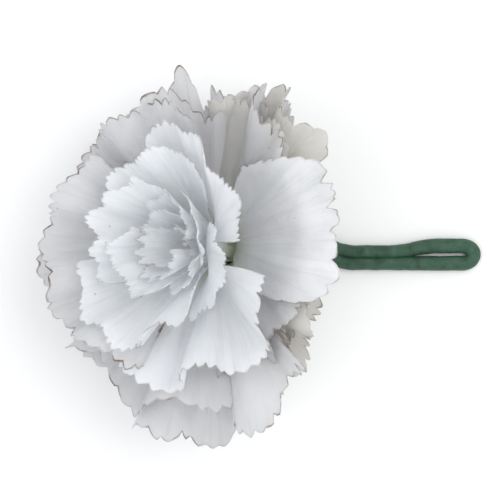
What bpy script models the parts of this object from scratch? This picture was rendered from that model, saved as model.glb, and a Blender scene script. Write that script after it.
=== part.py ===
"""Boutonniere: one white carnation on a taped wire, lying on its side.

Blender 4.5, metres, +Z up, resting on z = 0.  Lengths below are millimetres.  The flower is
built upright about its own axis and then leaned over by its empty, flower_head.  In the flower,
r is the distance from the axis, s the height above the throat where the petals spread, and
azimuth 0 is the side towards the cut end of the stem.
"""

import math

import bmesh
import bpy
from mathutils import Matrix, Vector

MM = 0.001

# The whole flower
AXIS_ELEVATION = 57.0  # degrees between the flower's axis and the table
THROAT = Vector((-6.0, 1.25, 23.6))  # where the axis crosses the throat
GAP = 0.3  # left between pieces that touch

# The petals, numbered from the outermost, each on a layer of its own
PETAL_COUNT = 37
PETAL_THICKNESS = 0.25
GOLDEN_TURN = 137.508
FIRST_AZIMUTH = 188.0
LAST_SPREAD_PETAL = 17  # the last of the outer petals that lie wide open
SWING = {7: -8, 9: -14, 10: -18, 15: -14, 16: -8}  # degrees a limb is pushed sideways
SPREAD_LEAN = (111.0, 75.0)  # degrees from the axis, first and last spread petal
UPRIGHT_LEAN = (70.0, 12.0)  # the same for the inner petals
NEAR_SPREAD_LEAN = (80.0, 75.0)  # spread and inner petals on the side over the stem, where the
NEAR_UPRIGHT_LEAN = (14.0, 3.0)  # bloom is pushed apart between the two groups
HEART_CLOSENESS = 1.9  # above 1, the innermost petals stand closer together
NEAR_SPREAD_HALF_ANGLE = 105.0
NEAR_UPRIGHT_HALF_ANGLE = 105.0
TABLE_PRESS = 1.4  # mm above the table over which a margin that reaches it flattens
TABLE_DIP = 9.0  # degrees added beside the lowest line, so a whole margin meets the table
TABLE_DIP_HALF_ANGLE = 45.0
LIMB_LENGTH = 36.5
SHORT_SIDE_AZIMUTH = -25.0
SHORT_SIDE_LOSS = 5.5
LONG_SIDE_AZIMUTH = 245.0
LONG_SIDE_GAIN = 1.6
HEART_LENGTH_LOSS = 13.0
HIDDEN_LENGTH_LOSS = 4.0  # for the outermost petals under the near side
CLAW_BASE = -16.5
MOUTH = (-2.0, 2.0)  # height where the limb starts, outermost and innermost petal
CLAW_BASE_RADIUS = (4.4, 2.4)
MOUTH_RADIUS = (5.0, 1.2)
CLAW_HALF_SPAN = (8.0, 14.0)  # degrees of azimuth, at the claw's foot and at the mouth
LIMB_HALF_SPAN = (43.0, 60.0)  # degrees, for the outermost and the innermost petal
BEND_LENGTH = 12.0
FLUTE_DEPTH = 0.9
FLUTES_ROUND = 8
PETAL_COLUMNS = 8
LIMB_ROWS = (0.0, 3.5, 7.5, 12.5, 19.0, 27.0)
LAST_ROW_SHARE = 0.8  # of a short petal's length, so that its rows end before its margin

# Calyx, bracts, receptacle and pistil
CALYX_RADIUS = 6.2
CALYX_TOP = -2.0
CALYX_LENGTH = 19.6
CALYX_FULLNESS = 4.5
CALYX_WALL = 0.5
CALYX_FOOT_RADIUS = 2.0
SEPALS = 5
SEPAL_HEIGHT = 2.6
BRACT_COUNT = 4
BRACT_FOOT = -18.4
BRACT_HEIGHT = 6.5
BRACT_HALF_SPAN = 36.0
BRACT_THICKNESS = 0.35
STUB_RADIUS = 1.5
RECEPTACLE_TOP = -17.2
RECEPTACLE_RADIUS = 3.8
STYLE_RADIUS = 0.3

# The wired and taped stem
WIRE_RADIUS = 0.4
TAPE_WALL = 0.3
COLLAR_WALL = 0.5
SLEEVE_RADIUS = WIRE_RADIUS + GAP + TAPE_WALL
BEND_RADIUS = 10.0
STEM_REACH = 48.2  # from the throat to the tip of the loop, along X
STEM_SIDESTEP = -2.45  # the straight stem lies this far to one side of the flower's axis
LEG_BESIDE_STUB = STUB_RADIUS + GAP + WIRE_RADIUS
LEG_IN_STEM = SLEEVE_RADIUS + 0.1
LEG_IN_LOOP = 1.7
LOOP_DEPTH = 2.3  # of the bow's middle line, along the stem
LOOP_OPENS = (31, 9)  # from this far along the stem, over this length
LEG_TOP = 0.4  # this and the next four: mm along the stem's line from where it starts to bend
STUB_END = 4.4
SLEEVE_TOP = 5.0
COLLAR_TOP = -3.1
COLLAR_END = 5.8


def mix(a, b, t):
    return a + (b - a) * t


def smooth(t):
    t = min(1.0, max(0.0, t))
    return t * t * (3 - 2 * t)


def window(angle, half_angle):
    """1 at angle 0, falling smoothly to 0 at half_angle degrees and beyond."""
    angle = abs((angle + 180) % 360 - 180)
    return 0.5 + 0.5 * math.cos(math.pi * min(1.0, angle / half_angle))


# ---------------------------------------------------------------- scene


def clear_scene():
    for obj in list(bpy.data.objects):
        bpy.data.objects.remove(obj)
    for mesh in list(bpy.data.meshes):
        bpy.data.meshes.remove(mesh)


def new_collection():
    collection = bpy.data.collections.new("boutonniere")
    bpy.context.scene.collection.children.link(collection)
    return collection


def new_material(name, colour, roughness):
    material = bpy.data.materials.new(name)
    material.use_nodes = True
    shader = material.node_tree.nodes["Principled BSDF"]
    shader.inputs["Base Color"].default_value = (*colour, 1)
    shader.inputs["Roughness"].default_value = roughness
    shader.inputs["Metallic"].default_value = 1.0 if name == "wire_steel" else 0.0
    return material


def add_object(collection, name, data, material, parent=None):
    obj = bpy.data.objects.new(name, data)
    data.materials.append(material)
    collection.objects.link(obj)
    obj.parent = parent
    return obj


def moved_grid(columns, rows, place, weld=False):
    """A grid whose points place(u, v) puts, u and v from 0 to 1.  weld closes a wrapped seam."""
    bm = bmesh.new()
    bmesh.ops.create_grid(bm, x_segments=columns, y_segments=rows, size=1)
    for vert in bm.verts:
        u = round((vert.co.x + 1) / 2 * columns) / columns
        v = round((vert.co.y + 1) / 2 * rows) / rows
        vert.co = place(u, v) * MM
    if weld:
        bmesh.ops.remove_doubles(bm, verts=bm.verts, dist=1e-6)
    mesh = bpy.data.meshes.new("grid")
    bm.to_mesh(mesh)
    bm.free()
    mesh.shade_smooth()
    return mesh


def add_thickness(obj, thickness, offset):
    modifier = obj.modifiers.new("thickness", "SOLIDIFY")
    modifier.thickness = thickness * MM
    modifier.offset = offset


def turned(collection, name, profile, material, parent, steps=20):
    """A solid turned about Z from (r, s) points, the outer side running from top to bottom."""
    mesh = bpy.data.meshes.new(name)
    points = [Vector((r, 0, s)) * MM for r, s in profile]
    mesh.from_pydata(points, [(i, i + 1) for i in range(len(points) - 1)], [])
    obj = add_object(collection, name, mesh, material, parent)
    screw = obj.modifiers.new("turn", "SCREW")
    screw.steps = screw.render_steps = steps
    screw.use_merge_vertices = True
    screw.merge_threshold = 0.00001
    return obj


# ---------------------------------------------------------------- petals


def layer_lean(number, azimuth):
    """How far, in degrees, a petal's layer leans from the axis at this azimuth."""
    inner_count = PETAL_COUNT - 1 - LAST_SPREAD_PETAL
    if number <= LAST_SPREAD_PETAL:
        depth = number / LAST_SPREAD_PETAL
        near = window(azimuth, NEAR_SPREAD_HALF_ANGLE)
        beside = 1 - window(azimuth - 180, TABLE_DIP_HALF_ANGLE)
        dip = TABLE_DIP * beside * (1 - depth) * (1 - near)
        return mix(mix(*SPREAD_LEAN, depth), mix(*NEAR_SPREAD_LEAN, depth), near) + dip
    depth = (number - 1 - LAST_SPREAD_PETAL) / (inner_count - 1)
    depth = 1 - (1 - depth) ** HEART_CLOSENESS
    near = window(azimuth, NEAR_UPRIGHT_HALF_ANGLE)
    return mix(mix(*UPRIGHT_LEAN, depth), mix(*NEAR_UPRIGHT_LEAN, depth), near)


def limb_length(number, azimuth):
    heart = max(0.0, (number - LAST_SPREAD_PETAL) / (PETAL_COUNT - 1 - LAST_SPREAD_PETAL))
    short = SHORT_SIDE_LOSS * window(azimuth - SHORT_SIDE_AZIMUTH, 80)
    long = LONG_SIDE_GAIN * math.cos(math.radians(azimuth - LONG_SIDE_AZIMUTH))
    hidden = max(0.0, 1 - number / LAST_SPREAD_PETAL) * window(azimuth, NEAR_SPREAD_HALF_ANGLE)
    loss = HEART_LENGTH_LOSS * heart + HIDDEN_LENGTH_LOSS * hidden
    return LIMB_LENGTH + long - short - loss


def layer_point(number, azimuth, reach):
    """(r, s) on a petal's layer, reach mm beyond the mouth; below 0 it runs down the claw."""
    inward = number / (PETAL_COUNT - 1)
    mouth_radius = mix(*MOUTH_RADIUS, inward)
    mouth = mix(*MOUTH, inward)
    if reach < 0:
        down = reach / (CLAW_BASE - mouth)
        return mix(mouth_radius, mix(*CLAW_BASE_RADIUS, inward), down), mix(mouth, CLAW_BASE, down)
    lean = math.radians(layer_lean(number, azimuth))
    r, s = mouth_radius, mouth
    steps = max(1, round(reach / 0.5))
    for step in range(steps):
        angle = lean * smooth((step + 0.5) * reach / steps / BEND_LENGTH)
        r += math.sin(angle) * reach / steps
        s += math.cos(angle) * reach / steps
    return r, s


def flute(r, s, azimuth):
    """Tilts a point about the throat, by the same amount on every layer at that azimuth."""
    distance = math.hypot(r, s)
    lean = math.atan2(r, s)
    grown = smooth((distance - 9) / 22)
    near_axis = smooth(lean / math.radians(50))
    wave = math.sin(math.radians(FLUTES_ROUND * azimuth) + distance / 9)
    lean += FLUTE_DEPTH / max(distance, 1.0) * grown * near_axis * wave
    return distance * math.sin(lean), distance * math.cos(lean)


def press_on_table(point):
    """Lifts a point, along the world's up, by what the table would push it."""
    tilt = math.radians(AXIS_ELEVATION)
    up = Vector((math.cos(tilt), 0, math.sin(tilt)))
    height = THROAT.z + point.dot(up) - PETAL_THICKNESS / 2
    pressed = (height + math.hypot(height, TABLE_PRESS)) / 2
    return point + up * (pressed - height)


def petal_azimuth(number):
    return FIRST_AZIMUTH + number * GOLDEN_TURN


def petal_point(number, across, row):
    """A point of petal `number`: across from -1 to 1, row counted from the claw's foot."""
    inward = number / (PETAL_COUNT - 1)
    limb_azimuth = petal_azimuth(number) + SWING.get(number, 0)
    length = limb_length(number, limb_azimuth)
    shrink = min(1.0, LAST_ROW_SHARE * length / LIMB_ROWS[-1])
    rows = (CLAW_BASE - mix(*MOUTH, inward), *(shrink * row for row in LIMB_ROWS), length)
    reach = rows[row]
    if row == len(rows) - 1:
        tooth = 0.6 if round((across + 1) / 2 * PETAL_COLUMNS) % 2 else -0.6
        reach = length * (1 - 0.12 * abs(across) ** 3) + tooth
    spread = smooth(reach / (BEND_LENGTH + 1))
    if reach < 0:
        half_span = CLAW_HALF_SPAN[0]
    else:
        half_span = mix(CLAW_HALF_SPAN[1], mix(*LIMB_HALF_SPAN, inward), spread)
    azimuth = mix(petal_azimuth(number), limb_azimuth, spread) + across * half_span
    r, s = flute(*layer_point(number, azimuth, reach), azimuth)
    angle = math.radians(azimuth)
    return press_on_table(Vector((r * math.cos(angle), r * math.sin(angle), s)))


def make_petals(collection, head, material):
    rows = len(LIMB_ROWS) + 1
    for number in range(PETAL_COUNT):
        mesh = moved_grid(
            PETAL_COLUMNS, rows, lambda u, v: petal_point(number, 2 * u - 1, round(v * rows))
        )
        petal = add_object(collection, f"petal_{number + 1:02d}", mesh, material, head)
        add_thickness(petal, PETAL_THICKNESS, 0)


# ---------------------------------------------------------------- calyx and pistil


def calyx_radius(s):
    """Outer radius of the calyx tube, which rounds off to the foot."""
    down = min(1.0, max(0.0, (CALYX_TOP - s) / CALYX_LENGTH))
    return CALYX_RADIUS * math.sqrt(1 - down**CALYX_FULLNESS)


def calyx_foot():
    part = 1 - (CALYX_FOOT_RADIUS / CALYX_RADIUS) ** 2
    return CALYX_TOP - CALYX_LENGTH * part ** (1 / CALYX_FULLNESS)


def make_calyx(collection, head, material):
    foot = calyx_foot()

    def place(u, v):
        angle = 2 * math.pi * u
        sepal = abs((u * SEPALS) % 1 - 0.5) * 2
        top = CALYX_TOP + SEPAL_HEIGHT * (sepal - 1.1)
        s = mix(foot, top, math.sin(v * math.pi / 2) ** 0.8)
        r = calyx_radius(s) if v > 0 else CALYX_FOOT_RADIUS
        return Vector((r * math.cos(angle), r * math.sin(angle), s))

    mesh = moved_grid(SEPALS * 6, 8, place, weld=True)
    calyx = add_object(collection, "calyx", mesh, material, head)
    add_thickness(calyx, CALYX_WALL, -1)


def make_bracts(collection, head, material):
    for number in range(BRACT_COUNT):
        middle = 360 / BRACT_COUNT * number + 45
        lift = GAP + BRACT_THICKNESS / 2 + 0.1

        def place(u, v):
            narrow = 1 - 0.92 * v**2.2
            angle = math.radians(middle + (2 * u - 1) * BRACT_HALF_SPAN * narrow)
            s = BRACT_FOOT + BRACT_HEIGHT * v
            r = calyx_radius(s) + lift + 0.5 * (1 - v) ** 2
            return Vector((r * math.cos(angle), r * math.sin(angle), s))

        mesh = moved_grid(6, 5, place)
        bract = add_object(collection, f"bract_{number + 1}", mesh, material, head)
        add_thickness(bract, BRACT_THICKNESS, 0)


def make_pistil(collection, head, material):
    foot = RECEPTACLE_TOP + GAP
    profile = [(0, foot + 10), (0.7, foot + 9), (1.3, foot + 6), (1.8, foot + 2.5)]
    profile += [(1.6, foot + 0.6), (1.0, foot), (0, foot)]
    pistil = turned(collection, "pistil", profile, material, head, steps=12)
    for side in (-1, 1):
        rod = bmesh.new()
        bmesh.ops.create_cone(
            rod,
            cap_ends=True,
            segments=8,
            radius1=STYLE_RADIUS * MM,
            radius2=STYLE_RADIUS * 0.6 * MM,
            depth=17 * MM,
            matrix=Matrix.Translation(Vector((side * 0.42, 0, foot + 15)) * MM),
        )
        mesh = bpy.data.meshes.new("style")
        rod.to_mesh(mesh)
        rod.free()
        style = bpy.data.objects.new("style_tool", mesh)
        tools_collection().objects.link(style)
        style.parent = head
        style.hide_render = True
        style.display_type = "WIRE"
        union = pistil.modifiers.new("style", "BOOLEAN")
        union.operation = "UNION"
        union.solver = "EXACT"
        union.object = style


def tools_collection():
    """The collection of helper shapes that are joined to others and aren't parts."""
    found = bpy.data.collections.get("tools")
    if found is None:
        found = bpy.data.collections.new("tools")
        bpy.context.scene.collection.children.link(found)
    return found


# ---------------------------------------------------------------- stem


def bend_start():
    """How far below the throat, along the axis, the stem's line starts to bend."""
    angle = math.radians(AXIS_ELEVATION)
    drop = THROAT.z - SLEEVE_RADIUS - BEND_RADIUS * (1 - math.cos(angle))
    return drop / math.sin(angle)


def loop_opening(x):
    """0 where the two legs lie side by side, 1 where they are as far apart as in the loop."""
    return smooth((x - LOOP_OPENS[0]) / LOOP_OPENS[1])


def sidestep(x):
    """The middle line's place across the stem: one leg stays straight while the other opens."""
    return STEM_SIDESTEP * smooth((x - 13) / 11) + (LEG_IN_LOOP - LEG_IN_STEM) * loop_opening(x)


def stem_line(along):
    """Point and direction on the stem's middle line; along is 0 where it starts to bend."""
    angle = math.radians(AXIS_ELEVATION)
    straight = bend_start() + min(along, 0.0)
    x, z = math.cos(angle) * straight, THROAT.z - math.sin(angle) * straight
    direction = Vector((math.cos(angle), 0, -math.sin(angle)))
    if along > 0:
        turned_by = min(along / BEND_RADIUS, angle)
        left = angle - turned_by
        x += BEND_RADIUS * (math.sin(angle) - math.sin(left))
        z -= BEND_RADIUS * (math.cos(left) - math.cos(angle))
        direction = Vector((math.cos(left), 0, -math.sin(left)))
        x += max(0.0, along - BEND_RADIUS * angle)
    return Vector((THROAT.x + x, THROAT.y + sidestep(x), z)), direction


def along_at(x):
    """The place on the straight stem x mm from the throat."""
    angle = math.radians(AXIS_ELEVATION)
    bent_to = math.cos(angle) * bend_start() + BEND_RADIUS * math.sin(angle)
    return BEND_RADIUS * angle + x - bent_to


def leg_offset(x):
    """How far a wire leg runs from the stem's middle line, x mm from the throat."""
    closed_in = mix(LEG_BESIDE_STUB, LEG_IN_STEM, smooth((x - 15) / 6))
    return mix(closed_in, LEG_IN_LOOP, loop_opening(x))


def hairpin(start):
    """Points of the wire: down one side, round the loop, and back up the other side."""
    loop_middle = STEM_REACH - SLEEVE_RADIUS - LOOP_DEPTH
    end = along_at(loop_middle)
    steps = round((end - start) / 2.2)
    leg = []
    for step in range(steps):
        point, _ = stem_line(mix(start, end, step / steps))
        leg.append(point + Vector((0, leg_offset(point.x - THROAT.x), 0)))
    middle, _ = stem_line(end)
    bow = [
        middle + Vector((LOOP_DEPTH * math.sin(turn), LEG_IN_LOOP * math.cos(turn), 0))
        for turn in (math.pi * step / 8 for step in range(9))
    ]
    back = []
    for point in reversed(leg):
        line_y = THROAT.y + sidestep(point.x - THROAT.x)
        back.append(Vector((point.x, 2 * line_y - point.y, point.z)))
    return leg + bow + back


def poly_tube(name, points, radius, caps, resolution):
    curve = bpy.data.curves.new(name, "CURVE")
    curve.dimensions = "3D"
    curve.twist_mode = "Z_UP"
    curve.bevel_depth = radius * MM
    curve.bevel_resolution = resolution
    curve.use_fill_caps = caps
    spline = curve.splines.new("POLY")
    spline.points.add(len(points) - 1)
    for slot, point in zip(spline.points, points):
        slot.co = (*(point * MM), 1)
    return curve


def make_wire(collection, material):
    curve = poly_tube("floral_wire", hairpin(LEG_TOP), WIRE_RADIUS, True, 1)
    add_object(collection, "floral_wire", curve, material)


def make_wire_tape(collection, material):
    curve = poly_tube("wire_tape", hairpin(SLEEVE_TOP), SLEEVE_RADIUS, False, 3)
    sleeve = add_object(collection, "wire_tape", curve, material)
    add_thickness(sleeve, TAPE_WALL, -1)


def make_stub(collection, material):
    """The natural stem: the receptacle inside the calyx, and a stub that bends with the wire."""
    start = -(bend_start() + RECEPTACLE_TOP)
    flare_end = start + 2.6
    stations = [start, start, start + 0.8, start + 1.7, flare_end, 0.0, 2.0, 4.0, STUB_END, STUB_END]
    last = len(stations) - 1

    def place(u, v):
        row = round(v * last)
        along = stations[row]
        point, direction = stem_line(along)
        flare = 1 - smooth((along - start) / (flare_end - start))
        radius = mix(STUB_RADIUS, RECEPTACLE_RADIUS, flare)
        if row in (0, last):
            radius = 0
        angle = 2 * math.pi * u
        up = Vector((0, 1, 0)).cross(direction)
        return point + radius * (math.cos(angle) * up + math.sin(angle) * Vector((0, 1, 0)))

    mesh = moved_grid(16, last, place, weld=True)
    add_object(collection, "flower_stem", mesh, material)


def make_collar(collection, material):
    """Tape wound from the calyx's foot down over the stub and both legs of the wire."""
    inner_low = LEG_BESIDE_STUB + SLEEVE_RADIUS + 2 * GAP
    rows = 7

    def place(u, v):
        along = mix(COLLAR_TOP, COLLAR_END, v)
        point, direction = stem_line(along)
        up = Vector((0, 1, 0)).cross(direction)
        s = -(bend_start() + along)
        at_calyx = calyx_radius(s) if s > calyx_foot() else 0.0
        side = max(inner_low, at_calyx + 0.5) + COLLAR_WALL
        inner = mix(STUB_RADIUS + GAP + 0.15, SLEEVE_RADIUS + GAP, smooth((along - STUB_END) / 1.4))
        height = max(inner, at_calyx + 0.5) + COLLAR_WALL
        square = mix(1.0, 0.75, smooth(3 * v))
        rise = math.copysign(abs(math.cos(2 * math.pi * u)) ** square, math.cos(2 * math.pi * u))
        across = math.copysign(abs(math.sin(2 * math.pi * u)) ** square, math.sin(2 * math.pi * u))
        return point + height * rise * up + side * across * Vector((0, 1, 0))

    mesh = moved_grid(20, rows, place, weld=True)
    collar = add_object(collection, "collar_tape", mesh, material)
    add_thickness(collar, COLLAR_WALL, -1)


# ---------------------------------------------------------------- assembly


def main():
    clear_scene()
    collection = new_collection()
    head = bpy.data.objects.new("flower_head", None)
    collection.objects.link(head)
    head.location = THROAT * MM
    head.rotation_euler = (0, math.radians(AXIS_ELEVATION - 90), 0)

    petal = new_material("petal_white", (0.84, 0.85, 0.87), 0.65)
    green = new_material("calyx_green", (0.20, 0.30, 0.13), 0.55)
    leafy = new_material("stem_green", (0.22, 0.33, 0.14), 0.6)
    pistil = new_material("pistil_cream", (0.80, 0.82, 0.62), 0.5)
    steel = new_material("wire_steel", (0.45, 0.46, 0.46), 0.35)
    tape = new_material("tape_green", (0.02, 0.09, 0.055), 0.55)

    make_petals(collection, head, petal)
    make_calyx(collection, head, green)
    make_bracts(collection, head, green)
    make_pistil(collection, head, pistil)
    make_stub(collection, leafy)
    make_wire(collection, steel)
    make_wire_tape(collection, tape)
    make_collar(collection, tape)


main()
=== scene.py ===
"""Looks of the boutonniere: grown and crumpled petals, calyx, taped stem, light and camera."""

import math

import bpy
import numpy as np
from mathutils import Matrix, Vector


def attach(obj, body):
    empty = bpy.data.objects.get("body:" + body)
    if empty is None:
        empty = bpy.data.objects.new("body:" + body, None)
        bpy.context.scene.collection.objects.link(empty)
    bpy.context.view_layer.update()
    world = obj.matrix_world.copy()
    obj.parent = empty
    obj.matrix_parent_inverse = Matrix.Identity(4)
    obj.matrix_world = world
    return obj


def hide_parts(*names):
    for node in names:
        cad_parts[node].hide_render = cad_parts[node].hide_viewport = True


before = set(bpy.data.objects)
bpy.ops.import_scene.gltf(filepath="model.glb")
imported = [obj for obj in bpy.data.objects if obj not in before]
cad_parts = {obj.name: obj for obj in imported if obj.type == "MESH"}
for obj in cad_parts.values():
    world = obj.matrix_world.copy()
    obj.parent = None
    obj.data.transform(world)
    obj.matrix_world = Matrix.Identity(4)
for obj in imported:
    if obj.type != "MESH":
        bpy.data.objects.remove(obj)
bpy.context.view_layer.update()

MM = 0.001

# ------------------------------------------------------------ the flower's plan, as in the part
# Millimetres and degrees.  In the flower's own frame r is the distance from the axis, s the
# height above the throat, and azimuth 0 is the side over the stem.

AXIS_ELEVATION = 57.0
THROAT = np.array((-6.0, 1.25, 23.6))
PETAL_COUNT = 37
GOLDEN_TURN = 137.508
FIRST_AZIMUTH = 188.0
LAST_SPREAD = 17
SWING = {7: -8, 9: -14, 10: -18, 15: -14, 16: -8}
SPREAD_LEAN = (111.0, 75.0)
UPRIGHT_LEAN = (70.0, 12.0)
HEART_CLOSENESS = 1.9  # above 1, the innermost petals stand closer together
NEAR_SPREAD_LEAN = (80.0, 75.0)
NEAR_UPRIGHT_LEAN = (14.0, 3.0)
NEAR_SPREAD_HALF_ANGLE = 105.0
NEAR_UPRIGHT_HALF_ANGLE = 105.0
TABLE_DIP = 9.0
TABLE_DIP_HALF_ANGLE = 45.0
LIMB_LENGTH = 36.5
SHORT_SIDE_AZIMUTH = -25.0
SHORT_SIDE_HALF_ANGLE = 80
SHORT_SIDE_LOSS = 5.5
LONG_SIDE_AZIMUTH = 245.0
LONG_SIDE_GAIN = 1.6
HEART_LENGTH_LOSS = 13.0
HIDDEN_LENGTH_LOSS = 4.0
CLAW_BASE = -16.5
MOUTH = (-2.0, 2.0)
CLAW_BASE_RADIUS = (4.4, 2.4)
MOUTH_RADIUS = (5.0, 1.2)
CLAW_HALF_SPAN = (8.0, 14.0)
LIMB_HALF_SPAN = (43.0, 60.0)
BEND_LENGTH = 12.0

CALYX_RADIUS = 6.2
CALYX_TOP = -2.0
CALYX_LENGTH = 19.6
CALYX_FULLNESS = 4.5
CALYX_WALL = 0.5
CALYX_FOOT_RADIUS = 2.0
SEPALS = 5
SEPAL_HEIGHT = 2.6
BRACT_COUNT = 4
BRACT_FOOT = -18.4
BRACT_HEIGHT = 6.5
BRACT_HALF_SPAN = 36.0
BRACT_THICKNESS = 0.35
GAP = 0.3
STUB_RADIUS = 1.5
WIRE_RADIUS = 0.4
COLLAR_WALL = 0.5
SLEEVE_RADIUS = 1.0
BEND_RADIUS = 10.0
STEM_REACH = 48.2
STEM_SIDESTEP = -2.45
LEG_BESIDE_STUB = STUB_RADIUS + GAP + WIRE_RADIUS
LEG_IN_STEM = SLEEVE_RADIUS + 0.1
LEG_IN_LOOP = 1.7
LOOP_DEPTH = 2.3
LOOP_OPENS = (31, 9)
STUB_END = 4.4
SLEEVE_TOP = 5.0
COLLAR_TOP = -3.1
COLLAR_END = 5.8
SIDESTEP_STARTS = (13, 11)  # mm from the throat where the stem steps aside, and over what
LEGS_CLOSE = (15, 6)  # the same for where the two legs close in past the stub

# ------------------------------------------------------------ how the petals grow

COLUMNS = 33
CLAW_ROWS = 4
LIMB_ROWS = 19
ROWS = CLAW_ROWS + LIMB_ROWS
PROFILE_STEPS = 60  # in which a layer's curve is added up
SEED = 7
TINY = 1e-9  # keeps a division from failing

# The petals' lengths, mm
MARGIN_ALLOWANCE = 0.6  # that the teeth are cut out of
LONGER_PETALS = {
    5: 1.5, 7: 0.3, 8: -2.0, 10: -0.8, 11: 2.0, 13: -1.5, 16: -0.4, 17: 8.5, 21: 1.5, 22: 1.0
}
SHORTER_HEART = (27, 2.0)  # from this petal on
TRIMMED_SIDES = ((110, 85, 2.6), (310, 65, 3.4), (28, 42, 3.0))  # middle azimuth, half angle, mm

# The fan: the broad smooth petal over the stem
FAN_PETAL = 17
FAN_RAISED = 4.0  # degrees that it stands clear of the petals under it
FAN_FALLS = ((-1, 0.30, 0.70, 24.0), (1, 0.30, 0.60, 14.0))  # side, where it starts, over what, mm
FAN_LOBE_DEPTH = 0.35
FAN_HOLD = 0.03  # how firmly each step draws it back to its plan
CLEFTS = (-0.36, -0.20, -0.02, 0.13, 0.29)  # narrow cuts in its margin
CLEFT_DEPTH = 2.6
CLEFT_HALF_WIDTH = 0.035

# Petals folded lengthwise into a trough, mm deep
FOLDS = {15: 6.5}
FOLD_POWER = 0.8  # below 1, the trough's bottom is sharper
FOLD_FAR_SIDE = 0.5  # how high the other side stands beside the first
FOLD_MIDDLE = 0.45  # the share of the depth by which the bottom goes down
FOLD_REACH = 22  # mm over which the fold grows

TWIST = 7.0  # most that one side of a heart petal leans past the other, degrees
TWIST_REACH = 20

# Over the stem, the outermost heart petals turn over outwards.
TURN_MIDDLE = 350.0
TURN_HALF_ANGLE = 85.0
TURNED_PETALS = (18, 29)
TURN_OVER = (68.0, 15.0)  # degrees, for the first and the last of them
TURN_STARTS = (12.5, 9.0)  # mm of reach where it starts, and over what
TURN_FADES = 0.25  # the last share of them, over which it fades

# How much longer a margin grows than its place round the bloom
GROWTH = 0.5
SMOOTH_PETALS = {
    9: 0.25, 10: 0.32, 12: 0.25, 14: 0.30, 17: 0.08, 18: 0.28, 20: 0.14, 22: 0.10, 23: 0.22, 25: 0.15
}
GROWTH_SCATTER = 0.25
HEART_GROWTH = (24, 0.7)  # from this petal on, the share of its growth that is left
GROWTH_STARTS = (7, 26)  # mm of reach where it starts, and over what
GROWTH_POWER = 1.2

# The first shallow waves: half turns across a petal, and mm
WAVES = ((0.8, 1.6), (1.7, 1.6), (2.9, 0.8), (4.6, 0.25))
WAVE_STARTS = (8, 24)
WAVE_AT_REST = 0.3  # what a petal that hardly grows still has of them

# Links between a petal's points: rows and columns apart, stiffness
LINK_KINDS = (
    (0, 1, 0.9), (1, 0, 0.9), (1, 1, 0.35), (1, -1, 0.35),
    (0, 2, 0.45), (2, 0, 0.50), (0, 4, 0.14), (4, 0, 0.15),
)
GROWTH_STEPS = 240
GROWING_SHARE = 0.7  # of the steps; in the rest the petals settle
LOOSE_FROM = (2.5, 3.0)  # mm of reach from which a point may move, and over what
HOLD = (0.10, 0.003)  # how firmly each step draws a point back to its plan, throat and margin
HOLD_ENDS = (3, 14)
KEEP_APART = 1.4  # mm between two points of the crumpled petals
KEEP_APART_EVERY = 3  # steps
KEEP_APART_FROM = 4.0  # mm of reach
PLANNED_SHARE = 0.9  # of two points' planned distance, where that is nearer than KEEP_APART
CROWD_SHARE = 0.35  # how much each further neighbour weakens a push
TABLE_CLEARANCE = 0.35

# ------------------------------------------------------------ the fine petals

FINE_COLUMNS = 161
FINE_ROWS = 56
ROW_SPACING = 0.85  # below 1, the fine rows lie closer together near the margin
PETAL_THICKNESS = 0.2
ABOVE_FLOOR = 0.3
CORNER_FALL = (4.2, 3.2)  # mm that a petal's corners fall short, and how late the fall starts
# Where the outer margins dip (or, below 0, stand out): petals, middle azimuth, half angle, mm.
OUTER = range(17)
DIPS = (
    (OUTER, 88, 12, 5.0), (OUTER, 30, 24, 4.0), (OUTER, 167, 9, 3.5), (OUTER, 226, 10, 2.0),
    (OUTER, 277, 8, 2.5), (OUTER, 300, 8, 2.0), ((10,), 102, 5, -3.5), ((11,), 256, 6, -3.0),
    ((5, 13), 156, 9, -2.0),
)
LOBES = (3.0, 5.5)  # half waves across a margin, fewest and most
OUTER_LOBE_DEPTH = (0.8, 1.9)
HEART_LOBE_DEPTH = (0.5, 1.1)
TOOTH_COLUMNS = (4, 9)  # a tooth is at least the first and less than the second of them wide
TOOTH_DEPTH = (0.5, 1.7)
TOOTH_PEAK = (0.3, 0.7)  # where across its width a tooth stands highest
TOOTH_ROUNDNESS = 0.8
LONG_TEETH = (0.85, 1.8)  # the share of teeth that are common ones, and a long one's depth
FINE_TEETH = (20, 0.7)  # from this petal on, how deep the teeth are beside the outer ones

# ------------------------------------------------------------ the petals' colours

FRESH_WHITE = (0.93, 0.94, 0.955)
FAN_WHITE = (0.91, 0.91, 0.92)
# the outer petals' white: partly their own greyer tone, partly painted shade on the petals away from the
# light
RIMMED_AND_SHADED_WHITE = (0.86, 0.858, 0.868)
OLDER_WHITE = (0.86, 0.845, 0.815)
STREAK_GREY = (0.74, 0.76, 0.76)
VEIN_GREY = (0.60, 0.62, 0.60)
THROAT_GREEN = (0.60, 0.68, 0.36)
RIM_BROWN = (0.26, 0.17, 0.12)
SPECK_BROWN = (0.35, 0.27, 0.20)
GREYER = (18, 21)  # inner petals coloured like the outer ones
PALER = 14  # an outer petal over the stem that isn't beige
OVER_STEM = 0.3  # a petal lies over the stem where its azimuth's cosine is above this
# The glow stands for the light that many thin petals pass on to each other.
HEART_GLOW = 0.10
FAN_GLOW = 0.06
TRANSLUCENCE = 0.56

# ------------------------------------------------------------ the green parts' finer shapes

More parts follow.
